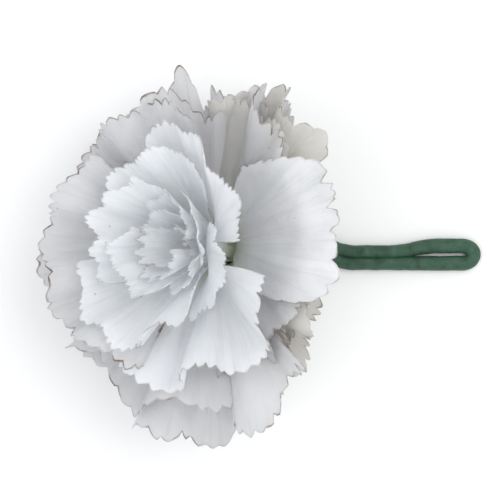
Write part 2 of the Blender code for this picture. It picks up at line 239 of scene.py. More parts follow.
LOOK_WALL = 0.8  # the share of a solid's wall that its visible piece has
CALYX_ROWS = 70
CALYX_COLUMNS = 240
CALYX_INSET = 0.2  # of its wall
CALYX_RIBS = 30
CALYX_RIB_DEPTH = 0.07
SEPAL_ROUNDNESS = 0.8  # below 1, the sepals' tips are blunter
SEPAL_RIB_DEPTH = 0.12
LIP_HEIGHT = 1.6
LIP_FLARE = 0.2
BRACT_ROWS = 33
BRACT_COLUMNS = 25
BRACT_AZIMUTH = 45
BRACT_NARROWS = (0.97, 2.2)  # the share of its width that goes, and how late
BRACT_OFF_CALYX = (0.1, 0.5)  # mm at its tip and more at its foot
BRACT_KEEL = 0.18
BRACT_RIBS = 7
BRACT_RIB_DEPTH = 0.03
BOW_LENGTH = 9  # mm, that sets how many points the wire's bow has
TAPE_PITCH = 4.6  # mm along the stem for one turn of the tape
TAPE_STEP = 0.09
TAPE_EDGE = (0.12, 0.5)  # the part of a turn in which it rises, and its fall after that
TAPE_COLUMNS = 56
TAPE_SPACING = 0.16
TAPE_THICKNESS = 0.25
TAPE_WIDTH = 1.04  # of the wound wire's radius, as TAPE_HEIGHT is
TAPE_HEIGHT = 0.97
TAPE_WIDER_IN_LOOP = 0.10
TAPE_OVER_SLEEVE = 1.02  # the wound wire's radius beside the solid's
CREPE_WAVES = 14
CREPE_DEPTH = 0.028
TAPE_ABOVE_FLOOR = 0.05
COLLAR_ROWS = 150
COLLAR_COLUMNS = 110
COLLAR_PITCH = 3.1
COLLAR_STEP = 0.16
COLLAR_EDGE = (0.1, 0.6)
COLLAR_OFF_CALYX = 0.5
COLLAR_OFF_STUB = 0.15
COLLAR_LEAVES_STUB = 1.4  # mm over which it closes in past the stub's end
COLLAR_SQUARENESS = 0.75  # below 1, its section is squarer
COLLAR_CREPE = 0.05
COLLAR_SOFTENING = 23  # rows over which the collar's outline is averaged


def mix(a, b, t):
    return a + (b - a) * t


def smooth(t):
    t = np.clip(t, 0.0, 1.0)
    return t * t * (3 - 2 * t)


def window(angle, half_angle):
    """1 at angle 0, falling smoothly to 0 at half_angle degrees and beyond."""
    angle = np.abs((angle + 180) % 360 - 180)
    return 0.5 + 0.5 * np.cos(np.pi * np.minimum(1.0, angle / half_angle))


def layer_lean(number, azimuth):
    """How far, in degrees, a petal's layer leans from the axis.  Both arguments are arrays."""
    near = window(azimuth, NEAR_SPREAD_HALF_ANGLE)
    depth = number / LAST_SPREAD
    beside = 1 - window(azimuth - 180, TABLE_DIP_HALF_ANGLE)
    dip = TABLE_DIP * beside * (1 - depth) * (1 - near)
    spread = mix(mix(*SPREAD_LEAN, depth), mix(*NEAR_SPREAD_LEAN, depth), near) + dip
    near = window(azimuth, NEAR_UPRIGHT_HALF_ANGLE)
    depth = (number - 1 - LAST_SPREAD) / (PETAL_COUNT - 2 - LAST_SPREAD)
    depth = 1 - (1 - depth) ** HEART_CLOSENESS
    upright = mix(mix(*UPRIGHT_LEAN, depth), mix(*NEAR_UPRIGHT_LEAN, depth), near)
    return np.where(number <= LAST_SPREAD, spread, upright)


def limb_length(number, azimuth):
    """The length in mm of a petal's limb.  Both arguments are arrays."""
    heart = np.maximum(0.0, (number - LAST_SPREAD) / (PETAL_COUNT - 1 - LAST_SPREAD))
    short = SHORT_SIDE_LOSS * window(azimuth - SHORT_SIDE_AZIMUTH, SHORT_SIDE_HALF_ANGLE)
    long = LONG_SIDE_GAIN * np.cos(np.radians(azimuth - LONG_SIDE_AZIMUTH))
    hidden = np.maximum(0.0, 1 - number / LAST_SPREAD) * window(azimuth, NEAR_SPREAD_HALF_ANGLE)
    return LIMB_LENGTH + long - short - HEART_LENGTH_LOSS * heart - HIDDEN_LENGTH_LOSS * hidden


def petal_azimuth(number):
    return FIRST_AZIMUTH + number * GOLDEN_TURN + SWING.get(number, 0)


def per_petal(values):
    """One number for each petal, 0 where none is given, to go with (petal, row, column) arrays."""
    return np.array([values.get(k, 0) for k in range(PETAL_COUNT)], float)[:, None, None]


def planned_length(number, azimuth):
    """Each petal's limb, with the teeth's allowance, longer or shorter where the outline asks."""
    length = limb_length(number, azimuth) + MARGIN_ALLOWANCE
    length += per_petal(LONGER_PETALS)
    length -= SHORTER_HEART[1] * (number >= SHORTER_HEART[0])
    for middle, half_angle, loss in TRIMMED_SIDES:
        length -= loss * window(azimuth - middle, half_angle)
    return length


def planned_lean(number, azimuth, across, reach):
    """Each point's lean in radians, with the raised fan and the twisted heart petals."""
    lean = np.radians(layer_lean(np.broadcast_to(number, azimuth.shape), azimuth))
    lean = lean - np.radians(FAN_RAISED) * (number == FAN_PETAL)
    twist = np.random.default_rng(SEED).uniform(-1, 1, PETAL_COUNT)
    twist *= np.where(np.arange(PETAL_COUNT) > LAST_SPREAD, TWIST, 0)
    return lean + np.radians(twist)[:, None, None] * across * smooth(reach / TWIST_REACH)


def turned_over(number, azimuth):
    """How much further, in radians, a petal's margin leans where it turns over outwards."""
    among = (number - TURNED_PETALS[0]) / (TURNED_PETALS[1] - TURNED_PETALS[0])
    turned = np.radians(mix(*TURN_OVER, among)) * window(azimuth - TURN_MIDDLE, TURN_HALF_ANGLE)
    return turned * (among >= 0) * smooth((1 - among) / TURN_FADES)


def fold_moves(lean, turn, across, reach):
    """Moves of the points that fold a petal lengthwise, one side higher than the other."""
    inwards = [-np.cos(lean) * np.cos(turn), -np.cos(lean) * np.sin(turn), np.sin(lean)]
    raised = np.abs(across) ** FOLD_POWER * np.where(across > 0, 1.0, FOLD_FAR_SIDE)
    fold = per_petal(FOLDS) * (raised - FOLD_MIDDLE) * smooth(reach / FOLD_REACH)
    return np.stack(inwards, axis=-1) * fold[..., None]


def planned_petals():
    """Points (petal, row, column, xyz) of the plain petals, and each point's reach."""
    number = np.arange(PETAL_COUNT, dtype=float)[:, None, None]
    inward = number / (PETAL_COUNT - 1)
    across = np.linspace(-1, 1, COLUMNS)[None, None, :]
    claw_azimuth = FIRST_AZIMUTH + number * GOLDEN_TURN
    limb_azimuth = claw_azimuth + per_petal(SWING)
    length = planned_length(number, limb_azimuth)
    mouth = mix(*MOUTH, inward)
    claw = np.linspace(1, 0, CLAW_ROWS, endpoint=False)[None, :, None]
    out = np.linspace(0, 1, LIMB_ROWS)[None, :, None]
    reach = np.concatenate([(CLAW_BASE - mouth) * claw, length * out], axis=1)
    down = np.clip(reach / (CLAW_BASE - mouth), 0, 1)
    spread = smooth(reach / (BEND_LENGTH + 1))
    claw_span = mix(CLAW_HALF_SPAN[1], CLAW_HALF_SPAN[0], down)
    half_span = mix(claw_span, mix(*LIMB_HALF_SPAN, inward), spread)
    azimuth = mix(claw_azimuth, limb_azimuth, spread) + across * half_span
    reach = np.broadcast_to(reach, azimuth.shape)
    lean = planned_lean(number, azimuth, across, reach)
    turned = turned_over(number, azimuth)
    r = np.broadcast_to(mix(*MOUTH_RADIUS, inward), azimuth.shape).copy()
    s = np.broadcast_to(mouth, azimuth.shape).copy()
    limb = np.maximum(reach, 0)
    for step in range(PROFILE_STEPS):
        gone = (step + 0.5) * limb / PROFILE_STEPS
        angle = lean * smooth(gone / BEND_LENGTH)
        angle = angle + turned * smooth((gone - TURN_STARTS[0]) / TURN_STARTS[1])
        r += np.sin(angle) * limb / PROFILE_STEPS
        s += np.cos(angle) * limb / PROFILE_STEPS
    r += (mix(*CLAW_BASE_RADIUS, inward) - mix(*MOUTH_RADIUS, inward)) * down
    s += (CLAW_BASE - mouth) * down
    turn = np.radians(azimuth)
    points = np.stack([r * np.cos(turn), r * np.sin(turn), s], axis=-1)
    return points + fold_moves(lean, turn, across, reach), reach.copy()


TILT = math.radians(AXIS_ELEVATION)
TO_WORLD = np.array(
    (
        (math.sin(TILT), 0, -math.cos(TILT)),
        (0, 1, 0),
        (math.cos(TILT), 0, math.sin(TILT)),
    )
)
UP = TO_WORLD[2]  # the world's up, seen from the flower's frame


class Links:
    """Distance constraints between points that lie `rows` and `columns` apart on every petal."""

    def __init__(self, rows, columns, stiffness, planned, grown):
        self.rows = rows
        self.columns = columns
        self.stiffness = stiffness
        self.planned = planned
        self.grown = grown
        self.step = 2 * (abs(columns) or rows)

    def slices(self, colour):
        """The links of one colour, in which no point is in two of them: first and second points,
        and their places in the lists of lengths."""
        every = slice(None)
        if not self.columns:
            first = (every, slice(colour, ROWS - self.rows, self.step))
            second = (every, slice(colour + self.rows, ROWS, self.step))
            return first, second, (every, slice(colour, None, self.step))
        apart = abs(self.columns)
        left = slice(colour, COLUMNS - apart, self.step)
        right = slice(colour + apart, COLUMNS, self.step)
        if self.columns < 0:
            left, right = right, left
        first = (every, slice(0, ROWS - self.rows), left)
        second = (every, slice(self.rows, ROWS), right)
        return first, second, (every, every, slice(colour, None, self.step))

    def apply(self, points, weight, part):
        """Moves the points towards the lengths that have grown so far; part is from 0 to 1."""
        wanted = mix(self.planned, self.grown, part)
        for colour in range(self.step):
            first, second, at = self.slices(colour)
            a = points[first]
            b = points[second]
            delta = b - a
            distance = np.sqrt((delta * delta).sum(-1)) + TINY
            wa = weight[first]
            wb = weight[second]
            share = self.stiffness * (distance - wanted[at]) / distance / (wa + wb + TINY)
            points[first] = a + delta * (share * wa)[..., None]
            points[second] = b - delta * (share * wb)[..., None]


def offset_distance(points, rows, columns):
    """The distances between the points that lie so many rows and columns apart."""
    if columns >= 0:
        delta = points[:, rows:, columns:] - points[:, : ROWS - rows, : COLUMNS - columns]
    else:
        delta = points[:, rows:, :columns] - points[:, : ROWS - rows, -columns:]
    return np.sqrt((delta * delta).sum(-1))


def close_pairs(points, radius):
    """Index pairs of points nearer than radius, found through a grid of cells."""
    cell = np.floor(points / radius).astype(np.int64)
    cell -= cell.min(0) - 1
    size = cell.max(0) + 2
    key = (cell[:, 0] * size[1] + cell[:, 1]) * size[2] + cell[:, 2]
    order = np.argsort(key, kind="stable")
    ranked = key[order]
    found = []
    for dx in (0, 1):
        for dy in (-1, 0, 1):
            for dz in (-1, 0, 1):
                if (dx, dy, dz) < (0, 0, 0):
                    continue
                shifted = ranked + (dx * size[1] + dy) * size[2] + dz
                low = np.searchsorted(ranked, shifted, "left")
                high = np.searchsorted(ranked, shifted, "right")
                if (dx, dy, dz) == (0, 0, 0):
                    low = np.arange(len(ranked)) + 1
                count = np.maximum(high - low, 0)
                first = np.repeat(np.arange(len(ranked)), count)
                skip = np.repeat(np.cumsum(count) - count, count)
                second = np.arange(len(first)) - skip + np.repeat(low, count)
                a = order[first]
                b = order[second]
                delta = points[a] - points[b]
                near = (delta * delta).sum(-1) < radius * radius
                found.append((a[near], b[near]))
    return np.concatenate([f[0] for f in found]), np.concatenate([f[1] for f in found])


def petal_growth(rng):
    """How much longer each petal's margin grows, with some scatter."""
    growth = np.array([SMOOTH_PETALS.get(k, GROWTH) for k in range(PETAL_COUNT)])
    growth = growth * (1 + GROWTH_SCATTER * rng.uniform(-1, 1, PETAL_COUNT))
    growth[HEART_GROWTH[0] :] *= HEART_GROWTH[1]
    return growth[:, None, None]


def first_folds(plan, reach, growth, rng):
    """Shallow random waves, which decide where each margin folds first."""
    u = np.linspace(-1, 1, COLUMNS)[None, :]
    wave = np.zeros((PETAL_COUNT, COLUMNS))
    for turns, size in WAVES:
        phase = rng.uniform(0, 2 * np.pi, (PETAL_COUNT, 1))
        wave += size * rng.uniform(0.5, 1.0, (PETAL_COUNT, 1)) * np.sin(np.pi * turns * u + phase)
    normal = np.cross(np.gradient(plan, axis=2), np.gradient(plan, axis=1))
    normal /= np.linalg.norm(normal, axis=-1, keepdims=True) + TINY
    grown = smooth((reach - WAVE_STARTS[0]) / WAVE_STARTS[1])
    lift = wave[:, None, :] * grown * (WAVE_AT_REST + growth)
    return normal * lift[..., None]


def make_links(plan, wider):
    """Every kind of link; those across a petal grow by `wider`, and those along it don't."""
    links = []
    for rows, columns, stiffness in LINK_KINDS:
        planned = offset_distance(plan, rows, columns)
        grown = planned
        if columns:
            kept = COLUMNS - abs(columns)
            middle = wider[:, rows // 2 : ROWS - rows + rows // 2, :kept]
            lengthwise = np.zeros_like(planned)
            if rows:
                lengthwise = offset_distance(plan, rows, 0)[:, :, :kept]
            crosswise = np.sqrt(np.maximum(planned**2 - lengthwise**2, 0)) * middle
            grown = np.sqrt(crosswise**2 + lengthwise**2)
        links.append(Links(rows, columns, stiffness, planned, grown))
    return links


def pushed_apart(points, plan, loose, weight):
    """The points after those that have come too near each other are pushed apart."""
    flat = points.reshape(-1, 3)
    flat_plan = plan.reshape(-1, 3)
    a, b = close_pairs(flat[loose], KEEP_APART)
    a = loose[a]
    b = loose[b]
    delta = flat[a] - flat[b]
    distance = np.sqrt((delta * delta).sum(-1)) + TINY
    planned = flat_plan[a] - flat_plan[b]
    wanted = np.minimum(KEEP_APART, PLANNED_SHARE * np.sqrt((planned * planned).sum(-1)))
    push = np.maximum(wanted - distance, 0) / distance * 0.5
    move = delta * push[:, None]
    hit = push > 0
    total = np.zeros_like(flat)
    for axis in range(3):
        total[:, axis] += np.bincount(a[hit], move[hit, axis], len(flat))
        total[:, axis] -= np.bincount(b[hit], move[hit, axis], len(flat))
    crowd = np.bincount(a[hit], minlength=len(flat)) + np.bincount(b[hit], minlength=len(flat))
    flat += total / (1 + CROWD_SHARE * crowd)[:, None] * weight.reshape(-1, 1)
    return flat.reshape(points.shape)


def grow_petals():
    """Grows the petals' margins until they buckle, keeping the petals apart."""
    plan, reach = planned_petals()
    rng = np.random.default_rng(SEED)
    growth = petal_growth(rng)
    grown = smooth((reach - GROWTH_STARTS[0]) / GROWTH_STARTS[1]) ** GROWTH_POWER
    points = plan.copy()
    points += first_folds(plan, reach, growth, rng)
    links = make_links(plan, 1 + growth * grown)
    weight = smooth((reach - LOOSE_FROM[0]) / LOOSE_FROM[1])
    hold = HOLD[0] * (1 - smooth((reach - HOLD_ENDS[0]) / HOLD_ENDS[1])) + HOLD[1]
    hold = hold + per_petal({FAN_PETAL: FAN_HOLD})
    loose = np.nonzero((reach > KEEP_APART_FROM).reshape(-1))[0]
    for step in range(GROWTH_STEPS):
        part = smooth((step + 1) / (GROWING_SHARE * GROWTH_STEPS))
        for link in links:
            link.apply(points, weight, part)
        points += (plan - points) * (hold * weight)[..., None]
        if step % KEEP_APART_EVERY == 0:
            points = pushed_apart(points, plan, loose, weight)
        height = THROAT[2] + points @ UP - TABLE_CLEARANCE
        points -= np.minimum(height, 0)[..., None] * UP
    return points, reach


# ------------------------------------------------------------ fine petals


def spline_weights(position, count):
    """Rows of cubic B-spline weights that read `count` points at these positions."""
    base = np.clip(np.floor(position).astype(int), 0, count - 2)
    t = position - base
    weights = np.stack(
        [(1 - t) ** 3, 3 * t**3 - 6 * t**2 + 4, -3 * t**3 + 3 * t**2 + 3 * t + 1, t**3], axis=-1
    ) / 6
    index = base[..., None] + np.arange(-1, 3)
    return weights, index


def extended(values, axis):
    """Adds one mirrored point past each end, so that the spline ends on the end points."""
    values = np.moveaxis(values, axis, 0)
    low = 2 * values[:1] - values[1:2]
    high = 2 * values[-1:] - values[-2:-1]
    return np.moveaxis(np.concatenate([low, values, high]), 0, axis)


def make_teeth(number, rng):
    """How deep, in mm, the margin is cut between the tips of its teeth, column by column."""
    fineness = FINE_TEETH[1] if number >= FINE_TEETH[0] or number == FAN_PETAL else 1.0
    teeth = np.zeros(FINE_COLUMNS)
    at = 0
    while at < FINE_COLUMNS - 1:
        width = int(rng.integers(*TOOTH_COLUMNS))
        depth = fineness * rng.uniform(*TOOTH_DEPTH)
        depth *= 1.0 if rng.uniform() < LONG_TEETH[0] else LONG_TEETH[1]
        peak = rng.uniform(*TOOTH_PEAK)
        for i in range(min(width, FINE_COLUMNS - at)):
            t = i / width
            rise = t / peak if t < peak else (1 - t) / (1 - peak)
            teeth[at + i] = depth * (1 - rise**TOOTH_ROUNDNESS)
        at += width
    return teeth


def toothed_margin(number, azimuth, rng):
    """How far, in mm, the margin falls short of the petal's full reach, column by column."""
    u = np.linspace(-1, 1, FINE_COLUMNS)
    short = CORNER_FALL[0] * np.abs(u) ** CORNER_FALL[1]
    lobes = rng.uniform(*LOBES)
    phase = rng.uniform(0, 6.28)
    lobe_depth = rng.uniform(*(OUTER_LOBE_DEPTH if number in OUTER else HEART_LOBE_DEPTH))
    if number == FAN_PETAL:
        lobe_depth = FAN_LOBE_DEPTH
        for side, start, width, fall in FAN_FALLS:
            short += fall * smooth((side * u - start) / width)
        for cleft in CLEFTS:
            short += CLEFT_DEPTH * np.maximum(0, 1 - np.abs(u - cleft) / CLEFT_HALF_WIDTH)
    short += lobe_depth * (1 + np.sin(np.pi * lobes * u + phase))
    for petals, middle, half_angle, depth in DIPS:
        if number in petals:
            short += depth * window(azimuth - middle, half_angle)
    return short + make_teeth(number, rng)


def fine_petal(points, reach, number):
    """A petal's fine points (row, column, xyz), how far each lies from the margin in mm, and how
    far along the petal."""
    rng = np.random.default_rng(1000 + SEED + number)
    u = np.linspace(-1, 1, FINE_COLUMNS)
    weights, index = spline_weights(np.linspace(0, COLUMNS - 1, FINE_COLUMNS), COLUMNS)
    wide = (extended(points, 1)[:, index + 1] * weights[None, :, :, None]).sum(2)
    row_length = reach[-1, COLUMNS // 2] / (LIMB_ROWS - 1)
    half_span = mix(*LIMB_HALF_SPAN, number / (PETAL_COUNT - 1))
    short = toothed_margin(number, petal_azimuth(number) + half_span * u, rng)
    end = ROWS - 1 - short / row_length
    position = (np.linspace(0, 1, FINE_ROWS) ** ROW_SPACING)[:, None] * end[None, :]
    weights, index = spline_weights(position, ROWS)
    columns = np.arange(FINE_COLUMNS)[None, :, None]
    fine = (extended(wide, 0)[index + 1, columns] * weights[..., None]).sum(2)
    to_margin = (end[None, :] - position) * row_length
    to_side = (1 - np.abs(u)) * 0.5 * np.maximum(position - CLAW_ROWS, 0.3) * row_length
    return fine, np.minimum(to_margin, to_side), position / (ROWS - 1)


def petal_mesh(name, fine, to_margin, along):
    """The mesh has each point's mm from the margin as its attribute `margin`."""
    rows, columns = fine.shape[:2]
    world = (fine.reshape(-1, 3) @ TO_WORLD.T + THROAT) * MM
    world[:, 2] = np.maximum(world[:, 2], ABOVE_FLOOR * MM)
    corner = (np.arange(rows - 1)[:, None] * columns + np.arange(columns - 1)[None, :]).reshape(-1)
    faces = np.stack([corner, corner + 1, corner + columns + 1, corner + columns], axis=1)
    mesh = bpy.data.meshes.new(name)
    mesh.from_pydata(world.tolist(), [], faces.tolist())
    u = np.broadcast_to(np.linspace(0, 1, columns)[None, :], (rows, columns)).reshape(-1)
    v = along.reshape(-1)
    layer = mesh.uv_layers.new(name="petal")
    loop_vertex = np.empty(len(mesh.loops), np.int32)
    mesh.loops.foreach_get("vertex_index", loop_vertex)
    layer.data.foreach_set("uv", np.stack([u, v], 1)[loop_vertex].astype(np.float32).reshape(-1))
    margin = mesh.attributes.new("margin", "FLOAT", "POINT")
    margin.data.foreach_set("value", to_margin.reshape(-1).astype(np.float32))
    mesh.shade_smooth()
    return mesh


# ------------------------------------------------------------ materials


class Nodes:
    """A short way to write a material's nodes."""

    def __init__(self, name):
        self.material = bpy.data.materials.new(name)
        self.material.use_nodes = True
        self.tree = self.material.node_tree
        self.shader = self.tree.nodes["Principled BSDF"]
        self.output = self.tree.nodes["Material Output"]

    def add(self, kind, inputs=None, **settings):
        node = self.tree.nodes.new(kind)
        for key, value in settings.items():
            setattr(node, key, value)
        for key, value in (inputs or {}).items():
            self.set(node.inputs[key], value)
        return node

    def set(self, socket, value):
        if isinstance(value, bpy.types.NodeSocket):
            self.tree.links.new(value, socket)
        else:
            socket.default_value = value

    def skin(self, **values):
        """Sets the shader's inputs; an underscore in a name stands for a space."""
        for name, value in values.items():
            self.set(self.shader.inputs[name.replace("_", " ")], value)

    def object_place(self):
        return self.add("ShaderNodeTexCoord").outputs["Object"]

    def uv(self, layer):
        return self.add("ShaderNodeUVMap", uv_map=layer).outputs[0]

    def stretched(self, vector, scale, turn=0.0):
        inputs = {"Vector": vector, "Scale": scale, "Rotation": (0, 0, turn)}
        return self.add("ShaderNodeMapping", inputs).outputs[0]

    def noise(self, vector, scale, detail, distortion=0.0):
        inputs = {"Vector": vector, "Scale": scale, "Detail": detail, "Distortion": distortion}
        return self.add("ShaderNodeTexNoise", inputs).outputs["Fac"]

    def bump(self, height, strength, distance):
        inputs = {"Height": height, "Strength": strength, "Distance": distance}
        return self.add("ShaderNodeBump", inputs).outputs[0]

    def math(self, operation, a, b):
        return self.add("ShaderNodeMath", {0: a, 1: b}, operation=operation).outputs[0]

    def times(self, a, b):
        return self.math("MULTIPLY", a, b)

    def plus(self, a, b):
        return self.math("ADD", a, b)

    def ramp(self, value, *stops):
        """A colour ramp with two or three stops (place, colour)."""
        node = self.add("ShaderNodeValToRGB", {"Fac": value})
        ramp = node.color_ramp
        ramp.interpolation = "EASE"
        while len(ramp.elements) < len(stops):
            ramp.elements.new(0.5)
        for element, (place, colour) in zip(ramp.elements, stops):
            element.position = place
            element.color = (*colour, 1)
        return node.outputs["Color"]

    def greys(self, value, *stops):
        """The same in greys, for a mask or a roughness."""
        return self.ramp(value, *((place, (grey,) * 3) for place, grey in stops))

    def tinted(self, colour, mask, share, tint):
        """The colour, with this share of the tint where the mask is white."""
        return self.blend(self.times(mask, share), colour, tint)

    def blend(self, factor, a, b):
        node = self.add("ShaderNodeMix", data_type="RGBA", blend_type="MIX", clamp_factor=True)
        self.set(node.inputs[0], factor)
        self.set(node.inputs[6], a if isinstance(a, bpy.types.NodeSocket) else (*a, 1))
        self.set(node.inputs[7], b if isinstance(b, bpy.types.NodeSocket) else (*b, 1))
        return node.outputs[2]


def petal_material(name, tint, rim_width, browning, glow, crepe):
    """White petal: radiating veins, green throat, browned rim, a few specks.

    rim_width is in mm, browning is how strong the rim's brown is, glow the strength of a painted
    glow that stands in for the light the petals pass on to each other, and crepe how deep its fine
    grain is.
    """
    n = Nodes(name)
    uv = n.uv("petal")
    place = n.object_place()
    along = n.add("ShaderNodeSeparateXYZ", {0: uv}).outputs[1]
    margin = n.add("ShaderNodeAttribute", attribute_name="margin").outputs["Fac"]
    veins = n.noise(n.stretched(uv, (90, 2.2, 1)), 1.0, 3.0, 0.4)
    streaks = n.noise(n.stretched(uv, (16, 1.3, 1)), 1.0, 2.0)
    creases = n.noise(n.stretched(uv, (210, 9, 1)), 1.0, 3.0, 0.9)
    cloud = n.noise(place, 95.0, 4.0)
    patches = n.noise(place, 160.0, 2.0)
    ragged = n.noise(place, 700.0, 2.0)
    grain = n.noise(place, 1700.0, 2.0)
    speck = n.add("ShaderNodeTexVoronoi", {"Vector": place, "Scale": 190.0, "Randomness": 1.0})

    colour = n.ramp(cloud, (0.3, tuple(c * 0.93 for c in tint)), (0.7, tint))
    colour = n.tinted(colour, n.greys(streaks, (0.45, 0), (0.75, 1)), 0.35, STREAK_GREY)
    colour = n.tinted(colour, n.greys(veins, (0.52, 0), (0.66, 1)), 0.16, VEIN_GREY)
    colour = n.tinted(colour, n.greys(along, (0.15, 1), (0.50, 0)), 0.75, THROAT_GREEN)
    inwards = n.plus(margin, n.times(n.math("SUBTRACT", ragged, 0.5), 0.9))
    rim = n.greys(inwards, (0.05, 1), (rim_width, 0))
    rim = n.times(rim, n.plus(n.times(n.greys(patches, (0.42, 0), (0.66, 1)), 0.8), 0.1))
    colour = n.tinted(colour, rim, browning, RIM_BROWN)
    speck = n.greys(speck.outputs["Distance"], (0.03, 1), (0.06, 0))
    colour = n.tinted(colour, speck, 0.35, SPECK_BROWN)

    height = n.plus(n.times(veins, 0.35), streaks)
    height = n.plus(height, n.times(creases, 0.45))
    height = n.plus(height, n.times(grain, crepe))
    normal = n.bump(height, 0.45, 0.0007)
    n.skin(Base_Color=colour, Normal=normal, Roughness=0.55, Specular_IOR_Level=0.35, Sheen_Weight=0.15)
    # painted glow: the emission stands in for light passed between the petals, it is no lamp
    n.skin(Emission_Color=(0.93, 0.965, 1.0, 1), Emission_Strength=glow)
    through = n.add("ShaderNodeBsdfTranslucent", {"Color": colour, "Normal": normal})
    both = {0: TRANSLUCENCE, 1: n.shader.outputs[0], 2: through.outputs[0]}
    n.set(n.output.inputs["Surface"], n.add("ShaderNodeMixShader", both).outputs[0])
    return n.material


def petal_skins():
    """The material of each petal."""
    fresh = petal_material("petal_fresh", FRESH_WHITE, 0.18, 0.55, HEART_GLOW, 0.12)
    fan = petal_material("petal_fan", FAN_WHITE, 0.40, 0.95, FAN_GLOW, 0.55)
    # the outer petals' darker white is partly their own tone and partly painted shade
    rimmed_and_shaded = petal_material("petal_rimmed_and_shaded", RIMMED_AND_SHADED_WHITE, 0.45, 1.0, 0.0, 0.18)
    older = petal_material("petal_older", OLDER_WHITE, 0.32, 0.75, 0.0, 0.22)
    skins = []
    for number in range(PETAL_COUNT):
        over_stem = math.cos(math.radians(petal_azimuth(number))) > OVER_STEM
        if number in OUTER or number in GREYER:
            skins.append(older if over_stem and number != PALER else rimmed_and_shaded)
        else:
            skins.append(fan if number == FAN_PETAL else fresh)
    return skins


def make_petals():
    points, reach = grow_petals()
    for number, skin in enumerate(petal_skins()):
        name = f"petal_{number + 1:02d}"
        mesh = petal_mesh(name + "_look", *fine_petal(points[number], reach[number], number))
        petal = bpy.data.objects.new(name + "_look", mesh)
        bpy.context.scene.collection.objects.link(petal)
        finish_piece(petal, skin, name, PETAL_THICKNESS, 0)


# ------------------------------------------------------------ green parts


def grid_object(name, points, closed_round, uv_scale=(1.0, 1.0)):
    """A piece from points (row, column, xyz) in world millimetres, its columns closed or open."""
    rows, columns = points.shape[:2]
    last = columns if closed_round else columns - 1
    row, column = np.meshgrid(np.arange(rows - 1), np.arange(last), indexing="ij")
    after = (column + 1) % columns
    here = row * columns
    above = here + columns
    corners = [here + column, here + after, above + after, above + column]
    faces = np.stack(corners, axis=-1).reshape(-1, 4)
    mesh = bpy.data.meshes.new(name)
    mesh.from_pydata((points.reshape(-1, 3) * MM).tolist(), [], faces.tolist())
    u = np.stack([column, column + 1, column + 1, column], axis=-1).reshape(-1) / last
    v = np.stack([row, row, row + 1, row + 1], axis=-1).reshape(-1) / (rows - 1)
    layer = mesh.uv_layers.new(name="surface")
    uv = np.stack([u * uv_scale[0], v * uv_scale[1]], axis=1).astype(np.float32)
    layer.data.foreach_set("uv", uv.reshape(-1))
    mesh.shade_smooth()
    piece = bpy.data.objects.new(name, mesh)
    bpy.context.scene.collection.objects.link(piece)
    return piece


def finish_piece(piece, material, node, thickness, offset):
    piece.data.materials.append(material)
    solid = piece.modifiers.new("thickness", "SOLIDIFY")
    solid.thickness = thickness * MM
    solid.offset = offset
    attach(piece, "root")
    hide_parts(node)


def calyx_radius(s):
    down = np.clip((CALYX_TOP - s) / CALYX_LENGTH, 0, 1)
    return CALYX_RADIUS * np.sqrt(1 - down**CALYX_FULLNESS)


def calyx_foot():
    """The height at which the calyx has narrowed to its foot."""
    part = 1 - (CALYX_FOOT_RADIUS / CALYX_RADIUS) ** 2
    return CALYX_TOP - CALYX_LENGTH * part ** (1 / CALYX_FULLNESS)


def round_axis(r, angle, s):
    """World points from places in the flower's own frame."""
    points = np.stack([r * np.cos(angle), r * np.sin(angle), s], axis=-1)
    return points @ TO_WORLD.T + THROAT


def make_calyx():
    """A ribbed tube that ends in five pointed sepals."""
    u = np.linspace(0, 1, CALYX_COLUMNS, endpoint=False)[None, :]
    v = np.linspace(0, 1, CALYX_ROWS)[:, None]
    angle = 2 * np.pi * u
    sepal = np.abs((u * SEPALS) % 1 - 0.5) * 2
    top = CALYX_TOP + SEPAL_HEIGHT * (sepal**SEPAL_ROUNDNESS - 1.0)
    s = mix(calyx_foot(), top, np.sin(v * np.pi / 2) ** 0.8)
    ribs = CALYX_RIB_DEPTH * np.cos(angle * CALYX_RIBS) * smooth(v * 4)
    ribs = ribs + SEPAL_RIB_DEPTH * np.cos(angle * SEPALS) * smooth(v * 2 - 1)
    lip = LIP_FLARE * smooth((s - (top - LIP_HEIGHT)) / LIP_HEIGHT) * sepal
    r = np.where(v > 0, calyx_radius(s), CALYX_FOOT_RADIUS) + ribs - CALYX_WALL * CALYX_INSET + lip
    piece = grid_object("calyx_look", round_axis(r, angle, s), True)
    skin = leaf_material("calyx_skin", (0.16, 0.27, 0.10), (0.30, 0.40, 0.20), 60)
    finish_piece(piece, skin, "calyx", CALYX_WALL * LOOK_WALL, -1)


def make_bracts():
    """Keeled scales round the calyx's foot."""
    skin = leaf_material("bract_skin", (0.14, 0.25, 0.09), (0.30, 0.36, 0.17), 14)
    u = np.linspace(0, 1, BRACT_COLUMNS)[None, :]
    v = np.linspace(0, 1, BRACT_ROWS)[:, None]
    across = 2 * u - 1
    for number in range(BRACT_COUNT):
        middle = 360 / BRACT_COUNT * number + BRACT_AZIMUTH
        narrow = 1 - BRACT_NARROWS[0] * v ** BRACT_NARROWS[1]
        angle = np.radians(middle + across * BRACT_HALF_SPAN * narrow)
        s = BRACT_FOOT + BRACT_HEIGHT * (v - 0.06 * across**2 * v)
        ribs = BRACT_RIB_DEPTH * np.cos(u * 2 * np.pi * BRACT_RIBS)
        keel = BRACT_KEEL * (1 - np.abs(across)) ** 2 + ribs
        lift = GAP + BRACT_THICKNESS / 2 + BRACT_OFF_CALYX[0]
        r = calyx_radius(s) + lift + BRACT_OFF_CALYX[1] * (1 - v) ** 2 + keel * (1 - 0.6 * v)
        name = f"bract_{number + 1}"
        piece = grid_object(name + "_look", round_axis(r, angle, s), False)
        finish_piece(piece, skin, name, BRACT_THICKNESS * LOOK_WALL, 0)


def loop_opening(x):
    """How far the slit has opened, from 0 to 1, x mm from the throat."""
    return smooth((x - LOOP_OPENS[0]) / LOOP_OPENS[1])


